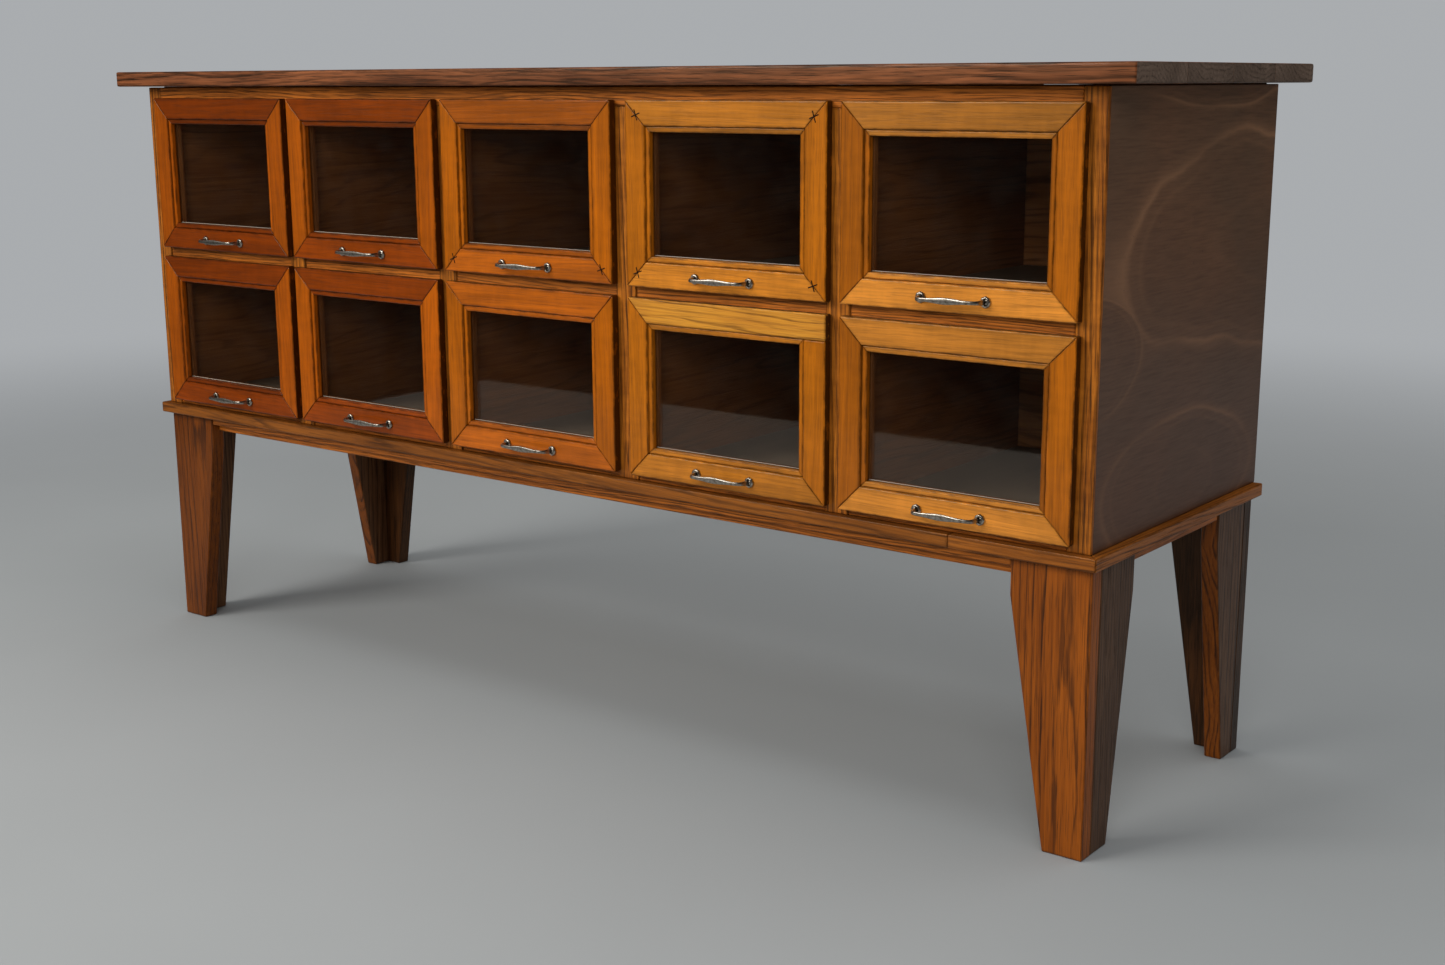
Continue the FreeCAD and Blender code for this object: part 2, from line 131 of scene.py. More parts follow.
def wood(name, pale, dark, deep, ring=0.006, contrast=0.7, line=0.2, pores=0.5, wobble=0.006,
         curl=0.0, grime_and_shade=0.5, tone=0.35, roughness=0.4, coat=0.1, coat_roughness=0.14, bump=0.35):
    """Varnished wood. The grain attribute holds each board's own coordinates, X along the grain
    and the tree's pith on its X axis, so growth rings run true over faces and ends. Each ring
    starts with a dark line of pores, line of its width wide, that breaks up into dashes."""
    n = Nodes(name)
    grain = n.attribute("grain", "Vector")
    board_tone = n.attribute("tone")
    wear_and_shade = n.attribute("wear_and_shade")

    slow = n.centred(n.noise(grain, (2.2, 14.0, 14.0)))
    fine = n.centred(n.noise(grain, (11.0, 150.0, 150.0), detail=3.0))
    split = n.add("SeparateXYZ", {0: grain})
    across = n.math("POWER", split.outputs[1], 2.0)
    depth = n.math("POWER", split.outputs[2], 2.0)
    radius = n.math("SQRT", n.math("ADD", across, depth))
    radius = n.math("ADD", radius, n.math("MULTIPLY", slow, wobble * 5.0))
    radius = n.math("ADD", radius, n.math("MULTIPLY", fine, ring * 0.36))
    phase = n.math("DIVIDE", radius, ring)
    saw = n.math("FRACT", phase)
    core = n.ramp(saw, (0.0, 0.25), (line * 0.4, 1.0), (line, 0.8), (line * 1.6, 0.16), (0.8, 0.0),
                  (1.0, 0.12))
    which = n.math("FLOOR", phase)
    per_ring = n.add("TexWhiteNoise", {"W": which}, noise_dimensions="1D").outputs["Value"]
    dashes = n.ramp(n.noise(grain, (16.0, 230.0, 230.0)), (0.36, 0.25), (0.52, 1.0))
    core = n.math("MULTIPLY", core, dashes)
    core = n.math("MULTIPLY", core, n.math("ADD", n.math("MULTIPLY", per_ring, 0.6), 0.4))

    streaks = n.noise(grain, (18.0, 620.0, 620.0), roughness=0.6)
    pore = n.ramp(streaks, (0.53, 0.0), (0.64, 1.0))
    fibre = n.noise(grain, (3.0, 260.0, 260.0), detail=3.0, roughness=0.65)
    cloud = n.noise(grain, (4.0, 16.0, 16.0), detail=4.0, roughness=0.6)
    figure = n.centred(n.noise(grain, (75.0, 22.0, 22.0)))

    ground = n.math("ADD", n.math("MULTIPLY", cloud, 0.55), n.math("MULTIPLY", fibre, 0.45))
    ground = n.math("ADD", ground, n.math("MULTIPLY", figure, curl))
    colour = n.mix(n.ramp(ground, (0.38, 0.0), (0.62, 1.0)), pale, dark)
    colour = n.mix(n.math("MULTIPLY", core, contrast), colour, deep)
    colour = n.mix(n.math("MULTIPLY", pore, pores), colour, deep)
    value = n.math("ADD", n.math("MULTIPLY", board_tone, tone), 1.0 - tone / 2)
    colour = n.add("VectorMath", {0: colour, "Scale": value}, operation="SCALE").outputs[0]
    # Darkening along the arrises: dirt where they are rubbed, and painted shade with dirt on the sides
    # of the drawer fronts.
    dirt = n.noise(grain, (45.0, 110.0, 110.0), detail=4.0, roughness=0.65)
    edge = n.math("MULTIPLY", wear_and_shade, n.ramp(dirt, (0.38, 0.15), (0.6, 1.0)))
    colour = n.mix(n.math("MULTIPLY", edge, grime_and_shade), colour, tuple(c * 0.6 for c in deep))

    height = n.math("SUBTRACT", n.math("MULTIPLY", fibre, 0.35), n.math("MULTIPLY", pore, 0.8))
    height = n.math("SUBTRACT", height, n.math("MULTIPLY", core, 0.5))
    rough = n.math("ADD", n.math("MULTIPLY", fibre, 0.16), roughness - 0.08)
    rough = n.math("ADD", rough, n.math("MULTIPLY", pore, 0.15))
    return n.finish("BsdfPrincipled", {
        "Base Color": colour, "Roughness": rough, "Coat Weight": coat, "Specular IOR Level": 0.22,
        "Specular Tint": (1.0, 0.74, 0.45, 1.0), "Coat Tint": (1.0, 0.93, 0.8, 1.0),
        "Coat Roughness": coat_roughness, "Normal": n.bump(height, bump, 0.0006),
    })


def plywood(name, ground, light, dark, roughness=0.42, coat=0.18):
    """Rotary-cut veneer and other plain sheets: an even ground with a few faint contour bands."""
    n = Nodes(name)
    grain = n.attribute("grain", "Vector")
    fields = n.noise(grain, (2.6, 2.1, 2.1), detail=1.2, roughness=0.35)
    jitter = n.noise(grain, (60.0, 160.0, 160.0))
    levels = n.math("MULTIPLY", fields, 7.0)
    levels = n.math("ADD", levels, n.math("MULTIPLY", jitter, 0.09))
    saw = n.math("FRACT", levels)
    band = n.ramp(saw, (0.0, 0.0), (0.44, 0.0), (0.5, 1.0), (0.55, 0.35), (0.62, 0.0), (1.0, 0.0))
    fade = n.ramp(n.noise(grain, (4.0, 4.0, 4.0), detail=1.0), (0.42, 0.0), (0.62, 1.0))
    band = n.math("MULTIPLY", band, fade)
    fibre = n.noise(grain, (9.0, 330.0, 330.0), detail=3.0, roughness=0.65)
    cloud = n.noise(grain, (3.5, 5.0, 5.0), detail=4.0, roughness=0.6)
    colour = n.mix(n.ramp(cloud, (0.32, 0.0), (0.7, 1.0)), ground, dark)
    colour = n.mix(n.math("MULTIPLY", n.ramp(fibre, (0.35, 0.0), (0.7, 1.0)), 0.45), colour, dark)
    colour = n.mix(n.math("MULTIPLY", band, 0.5), colour, light)
    wear_and_shade = n.attribute("wear_and_shade")
    colour = n.mix(n.math("MULTIPLY", wear_and_shade, 0.3), colour, light)
    height = n.math("MULTIPLY", fibre, 0.5)
    rough = n.math("ADD", n.math("MULTIPLY", fibre, 0.15), roughness - 0.07)
    return n.finish("BsdfPrincipled", {
        "Base Color": colour, "Roughness": rough, "Coat Weight": coat, "Coat Roughness": 0.3,
        "Normal": n.bump(height, 0.25, 0.0005),
    })


def ellipse_field(n, where, centre, half_sizes):
    """1 on an ellipse in the Y-Z plane, smaller inside it and larger outside."""
    off = n.vmath("SUBTRACT", where, (0.0, *centre))
    scaled = n.scaled(off, (0.0, 1 / half_sizes[0], 1 / half_sizes[1]))
    return n.add("VectorMath", {0: scaled}, operation="LENGTH").outputs["Value"]


def side_veneer(name):
    """Dark-stained rotary-cut veneer: pale contour lines of a few large eyes in a brown ground."""
    n = Nodes(name)
    where = n.add("TexCoord").outputs["Object"]
    warp = n.noise(where, (4.5, 4.5, 4.5), detail=1.0, roughness=0.4)
    warp = n.math("MULTIPLY", n.centred(warp), 0.55)
    shiver = n.noise(where, (30.0, 30.0, 60.0))
    warp = n.math("ADD", warp, n.math("MULTIPLY", n.centred(shiver), 0.04))
    low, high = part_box("side_panel_right")
    front, base = low.y, low.z
    field = None
    for (back, up), half_sizes in SIDE_EYES:
        radius = ellipse_field(n, where, (front + back, base + up), half_sizes)
        field = radius if field is None else n.math("MINIMUM", field, radius)
    field = n.math("ADD", field, warp)
    line = n.ramp(n.math("MULTIPLY", field, 0.5), (0.19, 0.0), (0.21, 0.16), (0.235, 0.0), (0.42, 0.0),
                  (0.44, 0.3), (0.455, 0.12), (0.48, 0.15), (0.5, 1.0), (0.525, 0.3), (0.56, 0.0))
    strength = n.ramp(n.noise(where, (5.0, 5.0, 5.0), detail=1.0), (0.35, 0.25), (0.6, 0.9))
    fibre = n.noise(where, (200.0, 16.0, 330.0), detail=3.0, roughness=0.65)
    cloud = n.noise(where, (4.0, 4.5, 6.0), detail=4.0, roughness=0.6)
    specks = n.ramp(n.noise(where, (160.0, 160.0, 160.0)), (0.70, 0.0), (0.74, 1.0))
    colour = n.mix(n.ramp(cloud, (0.34, 0.0), (0.66, 1.0)), SIDE_WARM, SIDE_DULL)
    colour = n.mix(n.ramp(fibre, (0.42, 0.0), (0.68, 0.55)), colour, SIDE_DARK)
    colour = n.mix(n.math("MULTIPLY", line, strength), colour, SIDE_LINE)
    colour = n.mix(n.math("MULTIPLY", specks, 0.6), colour, SIDE_DARK)
    wear_and_shade = n.attribute("wear_and_shade")
    colour = n.mix(n.math("MULTIPLY", wear_and_shade, 0.35), colour, SIDE_DARK)
    # The panel is darker towards its foot.
    level = n.add("SeparateXYZ", {0: where}).outputs["Z"]
    foot = n.add("MapRange", {"Value": level, "From Min": base, "From Max": high.z, "To Min": 1.0,
                              "To Max": 0.0}).outputs[0]
    colour = n.mix(n.math("MULTIPLY", foot, 0.65), colour, SIDE_FOOT)
    rough = n.math("ADD", n.math("MULTIPLY", fibre, 0.15), 0.42)
    return n.finish("BsdfPrincipled", {
        "Base Color": colour, "Roughness": rough, "Coat Weight": 0.12, "Coat Roughness": 0.25,
        "Specular IOR Level": 0.3, "Normal": n.bump(fibre, 0.2, 0.0005),
    })


def metal(name, bright, dull, roughness):
    """Plated metal gone dull: clouds of tarnish, fine scratches."""
    n = Nodes(name)
    where = n.add("TexCoord").outputs["Object"]
    cloud = n.noise(where, (180.0, 180.0, 180.0), detail=4.0, roughness=0.6)
    scratch = n.noise(where, (90.0, 2200.0, 2200.0))
    tarnish = n.ramp(cloud, (0.38, 0.0), (0.68, 1.0))
    colour = n.mix(tarnish, bright, dull)
    rough = n.math("ADD", n.math("MULTIPLY", cloud, 0.28), roughness - 0.1)
    return n.finish("BsdfPrincipled", {
        "Base Color": colour, "Metallic": 1.0, "Roughness": rough,
        "Normal": n.bump(scratch, 0.12, 0.0002),
    })


GLASS_HEAD_ON = 0.04        # the share of light that glass mirrors when looked at head on


def pane_glass(name):
    """Thin old window glass: clear, mirroring more at a slant (Schlick's formula), with a faint
    haze of dust."""
    n = Nodes(name)
    grain = n.attribute("grain", "Vector")
    ripple = n.noise(grain, (9.0, 14.0, 9.0))
    dust = n.ramp(n.noise(grain, (22.0, 22.0, 22.0), detail=5.0, roughness=0.7),
                  (0.4, 0.0004), (0.75, 0.005))
    normal = n.bump(ripple, 0.015, 0.004)
    clear = n.add("BsdfTransparent", {"Color": (0.93, 0.95, 0.94, 1.0)}).outputs[0]
    mirror = n.add("BsdfGlossy", {"Color": (0.92, 0.77, 0.65, 1.0), "Roughness": 0.02,
                                  "Normal": normal}).outputs[0]
    haze = n.add("BsdfDiffuse", {"Color": (0.5, 0.46, 0.4, 1.0)}).outputs[0]
    facing = n.add("LayerWeight", {"Blend": 0.5, "Normal": normal}).outputs["Facing"]
    rise = n.math("MULTIPLY", n.math("POWER", facing, 5.0), 1.0 - GLASS_HEAD_ON)
    fresnel = n.math("ADD", rise, GLASS_HEAD_ON)
    clean = n.add("MixShader", {0: fresnel, 1: clear, 2: mirror}).outputs[0]
    return n.finish("MixShader", {0: dust, 1: clean, 2: haze})


# ================================================================ the materials
OAK_DEEP = (0.024, 0.008, 0.004)
SIDE_WARM = (0.20, 0.092, 0.044)
SIDE_DULL = (0.155, 0.083, 0.044)
SIDE_DARK = (0.085, 0.044, 0.024)
SIDE_LINE = (0.34, 0.165, 0.078)
SIDE_FOOT = (0.07, 0.024, 0.010)
# The eyes of the side veneer: centre behind the front edge and above the foot, half sizes.
SIDE_EYES = (((0.50, 0.345), (0.49, 0.14)), ((0.25, 0.05), (0.23, 0.092)),
             ((-0.005, 0.235), (0.115, 0.07)), ((0.30, 0.60), (0.35, 0.075)))

leg_oak = wood("leg_oak_varnished", (0.34, 0.086, 0.007), (0.20, 0.047, 0.004), OAK_DEEP,
               ring=0.0085, contrast=1.0, line=0.15, pores=0.45, wobble=0.0045)
leg_left_oak = wood("leg_left_oak_varnished", (0.24, 0.058, 0.004), (0.13, 0.03, 0.003), OAK_DEEP,
                    ring=0.0085, contrast=1.0, line=0.17, pores=0.5, wobble=0.0045)
# The legs' side boards: darker and greyer than their front boards.
leg_side_oak = wood("leg_side_oak_weathered", (0.145, 0.064, 0.027), (0.082, 0.034, 0.015),
                    OAK_DEEP, ring=0.0065, contrast=1.0, line=0.3, pores=0.6, wobble=0.003)
# The rear legs' wide boards: a darker copy of the leg oak, painted shade from standing under the
# counter.
rear_leg_shaded_oak = wood("leg_rear_oak_dark", (0.085, 0.03, 0.009), (0.035, 0.012, 0.004),
                    (0.006, 0.003, 0.002), ring=0.0065, contrast=0.85, line=0.3, pores=0.6,
                    wobble=0.008)
leg_edge_oak = wood("leg_edge_oak_curls", (0.23, 0.06, 0.006), (0.13, 0.032, 0.004), OAK_DEEP,
                    ring=0.008, contrast=0.97, line=0.28, pores=0.3, wobble=0.02)
frame_oak = wood("frame_oak_varnished", (0.54, 0.168, 0.016), (0.25, 0.068, 0.007), OAK_DEEP,
                 ring=0.0062, contrast=0.97, line=0.34, pores=0.6, wobble=0.006, curl=0.25)
base_oak = wood("base_oak_varnished", (0.37, 0.115, 0.015), (0.20, 0.058, 0.008), OAK_DEEP,
                ring=0.0048, contrast=0.88, line=0.26, pores=0.4)
rail_oak = wood("rail_oak_varnished", (0.70, 0.20, 0.024), (0.38, 0.104, 0.013),
                (0.03, 0.009, 0.003), ring=0.004, contrast=0.92, line=0.34, pores=0.65)
top_oak = wood("top_oak_varnished", (0.32, 0.104, 0.038), (0.095, 0.030, 0.013),
               (0.012, 0.005, 0.003), ring=0.0085, contrast=1.0, line=0.36, pores=0.6,
               wobble=0.012, roughness=0.42)
top_ends = wood("top_end_grain", (0.22, 0.148, 0.108), (0.12, 0.08, 0.058), (0.03, 0.018, 0.012),
                ring=0.006, contrast=0.6, line=0.3, pores=0.3, wobble=0.008, roughness=0.55, coat=0.0)
repair_oak = wood("repair_oak_varnished", (0.66, 0.28, 0.03), (0.46, 0.165, 0.018),
                  (0.09, 0.03, 0.006), ring=0.0075, contrast=0.85, line=0.2, pores=0.3, wobble=0.016)
box_pine = wood("box_pine_varnished", (0.26, 0.088, 0.026), (0.18, 0.055, 0.016),
                (0.06, 0.018, 0.007), ring=0.011, contrast=0.5, line=0.24, pores=0.1, wobble=0.02,
                roughness=0.5, coat=0.05)
box_back = wood("box_back_pine_varnished", (0.60, 0.23, 0.075), (0.42, 0.145, 0.045),
                (0.12, 0.036, 0.014), ring=0.009, contrast=0.8, line=0.24, pores=0.1, wobble=0.012,
                roughness=0.5, coat=0.05)
box_floor = plywood("box_floor_hardboard", (0.20, 0.125, 0.08), (0.24, 0.155, 0.10),
                    (0.13, 0.08, 0.05), roughness=0.6, coat=0.0)
raw_softwood = wood("raw_softwood_aged", (0.33, 0.2, 0.1), (0.24, 0.135, 0.065), (0.12, 0.06, 0.03),
                    ring=0.009, contrast=0.55, line=0.25, pores=0.1, wobble=0.015, roughness=0.65,
                    coat=0.0, grime_and_shade=0.4)
side_ply = side_veneer("side_plywood_stained")
back_ply = plywood("back_plywood", (0.3, 0.185, 0.095), (0.38, 0.25, 0.14), (0.2, 0.115, 0.06),
                   roughness=0.62, coat=0.0)
handle_metal = metal("handle_nickel_aged", (0.50, 0.46, 0.40), (0.21, 0.175, 0.135), 0.3)
brad_metal = metal("brad_iron", (0.05, 0.03, 0.02), (0.03, 0.018, 0.012), 0.6)
# A pale strip along each pane's lower bead: painted highlight of the bead's lit top edge.
bead_highlight = plywood("painted_bead_highlight", (0.42, 0.36, 0.29), (0.5, 0.45, 0.38), (0.25, 0.19, 0.14),
                roughness=0.8, coat=0.0)
glass = pane_glass("pane_glass")


# Drawer fronts by column, left to right: the colour runs from red-brown to honey.
RAIL_COLOURS = ((0.213, 0.035, 0.001), (0.25, 0.042, 0.001), (0.428, 0.099, 0.005),
               (0.568, 0.194, 0.018), (0.615, 0.223, 0.029))
UPRIGHT_COLOURS = ((0.34, 0.070, 0.001), (0.375, 0.080, 0.001), (0.455, 0.112, 0.0015),
                  (0.41, 0.117, 0.0035), (0.37, 0.10, 0.0035))


def front_wood(name, stain):
    """The thin even stain of a drawer front: its pale, dark and deepest shade from one colour."""
    colour = Vector(stain)
    return wood(name, tuple(1.22 * colour), tuple(0.74 * colour), tuple(0.2 * colour),
                ring=0.016, contrast=0.22, line=0.3, pores=0.28, wobble=0.014, curl=0.16,
                grime_and_shade=0.9, tone=0.3, roughness=0.34, coat=0.2, coat_roughness=0.1, bump=0.2)


rail_woods = {c: front_wood("front_rail_%d" % c, RAIL_COLOURS[c - 1]) for c in COLUMNS}
upright_woods = {c: front_wood("front_upright_%d" % c, UPRIGHT_COLOURS[c - 1]) for c in COLUMNS}


# ================================================================ boards
rng = np.random.default_rng(7)          # a fixed seed: the same boards on every run
WEAR_REACH = 0.0035                     # how far wear and dirt reach in from an arris
WOBBLE_RATE = 22.0                      # how fast the depth of the wear changes, in radians a metre
SHADED_AND_SOILED = 5.0                            # darkening value that leaves no clean spots, for painted shade and dirt on the sides of the drawer fronts; an arris at full wear has 1


def ticks(half, r, step, extra=()):
    """Grid positions from -half to half, with close ones in the rounded edge zones."""
    r = min(r, half * 0.45)
    margin = min(r * 1.7, half * 0.7)
    wear = min(max(r * 3.0, WEAR_REACH), half * 0.85)
    near = sorted({half, half - 0.3 * r, half - 0.65 * r, half - r, half - margin, half - wear})
    inner = half - wear
    count = max(1, round(2 * inner / step))
    middle = [-inner + 2 * inner * i / count for i in range(1, count)]
    return sorted(set([-v for v in near] + middle + near + list(extra)))


def wobble_at(points, seed):
    """Smooth noise from a few sine waves, the same on every run."""
    waves = np.random.default_rng(seed)
    total = np.zeros(len(points))
    for k in range(5):
        direction = waves.normal(size=3) * WOBBLE_RATE * (0.6 + 0.5 * k)
        total += np.sin(points @ direction + waves.uniform(0, 6.28)) / (k + 1.5)
    return total / 1.6


class Board:
    """One piece of wood as a closed mesh: a rounded block in its own axes, X along the grain."""

    def __init__(self, size, material, r=0.001, step=0.05, cut="flat", warp=None, wear=0.00025,
                 extra=((), (), ())):
        """r rounds the arrises, step is the grid's widest spacing, cut says where the tree's pith
        lies, warp reshapes the block, wear is how deep its arrises are rubbed away, and extra holds
        grid positions that each axis has to have."""
        half = [s / 2 for s in size]
        axes = [ticks(half[i], r, step, extra[i]) for i in range(3)]
        shape = [len(a) for a in axes]
        index = -np.ones(shape, int)
        grid = np.stack(np.meshgrid(*[np.arange(k) for k in shape], indexing="ij"), -1)
        outer = ((grid == 0) | (grid == np.array(shape) - 1)).any(-1)
        index[outer] = np.arange(outer.sum())
        cells = grid[outer]
        points = np.stack([np.array(axes[i])[cells[:, i]] for i in range(3)], -1)
        self.faces = []
        for axis in range(3):
            u, v = [(1, 2), (2, 0), (0, 1)][axis]
            for side in (0, shape[axis] - 1):
                sheet = np.take(index, side, axis=axis)
                if u > v:
                    sheet = sheet.T
                a, b, c, d = sheet[:-1, :-1], sheet[1:, :-1], sheet[1:, 1:], sheet[:-1, 1:]
                quads = np.stack([a, b, c, d], -1).reshape(-1, 4)
                self.faces.append(quads if side else quads[:, ::-1])
        self.sheet_faces = [len(self.faces[i]) + len(self.faces[i + 1]) for i in (0, 2, 4)]
        self.faces = np.concatenate(self.faces)
        half = np.array(half)
        rr = np.minimum(r, half * 0.45)
        core = np.clip(points, -(half - rr), half - rr)
        off = (points - core) / rr
        length = np.linalg.norm(off, axis=1)
        turned = length > 1e-9
        off[turned] /= length[turned, None]
        seed = int(rng.integers(1 << 30))
        near_edge = (np.abs(off) > 0.05).sum(1) > 1
        rounded = core + off * rr
        bite = wear * (0.5 + 0.5 * wobble_at(points, seed)) * near_edge
        rounded -= np.sign(points) * bite[:, None] * (np.abs(off) > 0.05)
        gap = half - np.abs(points)
        second = np.sort(gap, axis=1)[:, 1]
        self.wear_and_shade = np.clip(1.0 - second / WEAR_REACH, 0, 1)
        self.points = warp(rounded) if warp else rounded
        # Y and Z from the pith to the board. All three cuts are drawn for every board, so that
        # a board's cut doesn't change the draws after it.
        pith = {
            "flat": (rng.uniform(-0.3, 0.3) * size[1], rng.choice([-1, 1]) * rng.uniform(0.05, 0.11)),
            "rift": (rng.choice([-1, 1]) * rng.uniform(0.08, 0.14), rng.uniform(0.05, 0.1)),
            "quarter": (rng.choice([-1, 1]) * rng.uniform(0.14, 0.22), rng.uniform(-0.01, 0.01)),
        }[cut]
        tilt = rng.uniform(-0.03, 0.03, 2)
        shift = np.array([rng.uniform(-4, 4), *pith])
        self.grain = self.points + shift
        self.grain[:, 1] += self.points[:, 0] * tilt[0]
        self.grain[:, 2] += self.points[:, 0] * tilt[1]
        self.tone = rng.uniform(0, 1)
        self.materials = [material] * 3      # of the ends, the edges and the wide faces

    def place(self, origin, along, across):
        """Puts the board's centre at origin, its grain along one axis and its width along another."""
        x = np.array(along, float)
        y = np.array(across, float)
        turn = np.stack([x, y, np.cross(x, y)])
        self.points = self.points @ turn + np.array(origin, float)
        return self


def piece(name, boards, body, node):
    """Joins boards into one object that rides on a body and stands for a CAD node."""
    mesh = bpy.data.meshes.new(name)
    counts = np.cumsum([0] + [len(b.points) for b in boards])
    points = np.concatenate([b.points for b in boards])
    faces = np.concatenate([b.faces + start for b, start in zip(boards, counts)])
    mesh.from_pydata(points.tolist(), [], faces.tolist())
    grain = mesh.attributes.new("grain", "FLOAT_VECTOR", "POINT")
    grain_points = np.concatenate([b.grain for b in boards]).astype(np.float32)
    grain.data.foreach_set("vector", grain_points.ravel())
    for key in ("wear_and_shade", "tone"):
        values = [np.broadcast_to(getattr(b, key), len(b.points)) for b in boards]
        attribute = mesh.attributes.new(key, "FLOAT", "POINT")
        attribute.data.foreach_set("value", np.concatenate(values).astype(np.float32))
    materials = []
    slots = []
    for b in boards:
        for material, count in zip(b.materials, b.sheet_faces):
            if material not in materials:
                materials.append(material)
                mesh.materials.append(material)
            slots += [materials.index(material)] * count
    mesh.polygons.foreach_set("material_index", slots)
    mesh.polygons.foreach_set("use_smooth", [True] * len(mesh.polygons))
    mesh.validate()
    mesh.update()
    obj = bpy.data.objects.new(name, mesh)
    bpy.context.scene.collection.objects.link(obj)
    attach(obj, body)
    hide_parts(node)


X, Y, Z = (1, 0, 0), (0, 1, 0), (0, 0, 1)


def slab(low, high, grain_axis, width_axis, material, **options):
    """A board that fills a box in the frame."""
    low, high = np.array(low, float), np.array(high, float)
    along, across = np.array(grain_axis), np.array(width_axis)
    third = np.abs(np.cross(along, across))
    span = high - low
    size = [float(span @ np.abs(a)) for a in (along, across, third)]
    return Board(size, material, **options).place((low + high) / 2, grain_axis, width_axis)


def cad_solids(node):
    """The separate solids of a node, each as the array of its corner points. A solid ends where
    the faces read so far close: each edge is then shared by two faces."""
    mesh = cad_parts[node].data
    co = np.array([v.co for v in mesh.vertices])
    _, same = np.unique(np.round(co, 6), axis=0, return_inverse=True)
    same = same.ravel().tolist()
    found, members, unmatched = [], [], set()
    for face in mesh.polygons:
        corners = [same[i] for i in face.vertices]
        for edge in zip(corners, corners[1:] + corners[:1]):
            if edge[::-1] in unmatched:
                unmatched.remove(edge[::-1])
            else:
                unmatched.add(edge)
        members += face.vertices
        if not unmatched:
            found.append(co[members])
            members = []
    return found


def cad_boxes(node):
    """The lowest and highest corner of each solid of a node."""
    return [(points.min(0), points.max(0)) for points in cad_solids(node)]


def auto_slab(low, high, material, **options):
    """A board whose grain runs along the box's longest side."""
    order = np.argsort(high - low)
    axes = np.eye(3)
    return slab(low, high, axes[order[2]], axes[order[1]], material, **options)


def mitred(left, right):
    """A warp that cuts the ends of a board to 45 degrees; local -Y is the outer edge."""
    def warp(points):
        half_x, half_y = points[:, 0].max(), points[:, 1].max()
        inset = points[:, 1] + half_y
        low = -half_x + left * inset
        high = half_x - right * inset
        share = (points[:, 0] + half_x) / (2 * half_x)
        moved = points.copy()
        moved[:, 0] = low + share * (high - low)
        return moved
    return warp


def tapered(floor_share, straight):
    """A warp for a leg board. Local -X is the floor and local -Y the upright outer edge; the
    width grows from its share at the floor to the whole at the height where it goes straight."""
    def warp(points):
        half_x, half_y = points[:, 0].max(), points[:, 1].max()
        height = points[:, 0] + half_x
        share = floor_share + (1 - floor_share) * np.clip(height / straight, 0, 1)
        moved = points.copy()
        moved[:, 1] = -half_y + (points[:, 1] + half_y) * share
        return moved
    return warp


# ================================================================ carcass
GAP = 0.0002               # dark joint line between neighbouring boards
STRIP_WIDTH = 0.06         # an edging strip that is deeper than this runs along a side


def shrunk(low, high, by=GAP):
    """A box made smaller by the gap on every side."""
    return np.array(low) + by, np.array(high) - by


def simple_node(node, material, slot, **options):
    """Every solid of a carcass node as one board with its grain along the longest side."""
    boards = [auto_slab(*shrunk(*box), material, **options) for box in cad_boxes(node)]
    piece(node + "_wood", boards, "carcass", node)


def build_top():
    boards = []
    low_all, high_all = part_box("top_boards")
    for low, high in cad_boxes("top_boards"):
        board = slab(low, high, X, Y, top_oak, r=0.0008, step=0.06, wear=0.0002)
        board.materials[0] = top_ends
        boards.append(soften(board, low_all, high_all, 0.0028))
    piece("top_planks", boards, "carcass", "top_boards")


def soften(board, low, high, radius):
    """Rounds the board's points to the outer arrises of the box that it is part of."""
    low, high = np.array(low), np.array(high)
    p = board.points
    core = np.clip(p, low + radius, high - radius)
    off = p - core
    length = np.linalg.norm(off, axis=1)
    beyond = length > radius
    p[beyond] = core[beyond] + off[beyond] / length[beyond, None] * radius
    edge = (np.abs(off) > radius * 0.15).sum(1) > 1
    board.wear_and_shade = np.maximum(board.wear_and_shade * 0.4, edge * 0.8)
    return board


def build_sides():
    for side in ("left", "right"):
        node = "side_panel_" + side
        low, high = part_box(node)
        board = slab(low, high, Y, Z, side_ply, r=0.0008, step=0.08)
        piece(node + "_ply", [board], "carcass", node)
    low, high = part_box("back_panel")
    board = slab(low, high, Z, X, back_ply, r=0.0006, step=0.1)
    piece("back_panel_ply", [board], "carcass", "back_panel")


def build_face_frame():
    boards = [slab(*shrunk(*box, 0.00015), Z, X, frame_oak, cut="rift", r=0.0012, step=0.04)
              for box in cad_boxes("face_frame_stiles")]
    piece("stiles_oak", boards, "carcass", "face_frame_stiles")
    for node in ("top_rail", "mid_rails", "bottom_rails"):
        simple_node(node, rail_oak, "frame_oak", cut="rift")


def build_inside():
    for node in ("top_cleats", "divider_panels", "drawer_runners", "leg_corner_blocks"):
        simple_node(node, raw_softwood, "inner_softwood", step=0.12)
    screw_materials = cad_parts["top_screws"].data.materials
    screw_materials.clear()
    screw_materials.append(brad_metal)


def build_base():
    simple_node("bottom_board", raw_softwood, "inner_softwood", step=0.12)
    boards = []
    low_all, high_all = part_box("base_edging")
    for low, high in cad_boxes("base_edging"):
        low, high = shrunk(low, high, 0.00012)
        touches_left = low[0] < low_all[0] + 0.001
        touches_right = high[0] > high_all[0] - 0.001
        if high[1] - low[1] < STRIP_WIDTH:
            along, across = X, Y
            warp = mitred(int(touches_left), int(touches_right))
        else:
            along, across = Y, (-1, 0, 0) if touches_right else X
            warp = mitred(1, 0)
        boards.append(slab(low, high, along, across, base_oak, r=0.0014, warp=warp, cut="rift"))
    piece("base_edging_oak", boards, "carcass", "base_edging")
    simple_node("apron_rails", rail_oak, "frame_oak", cut="rift")


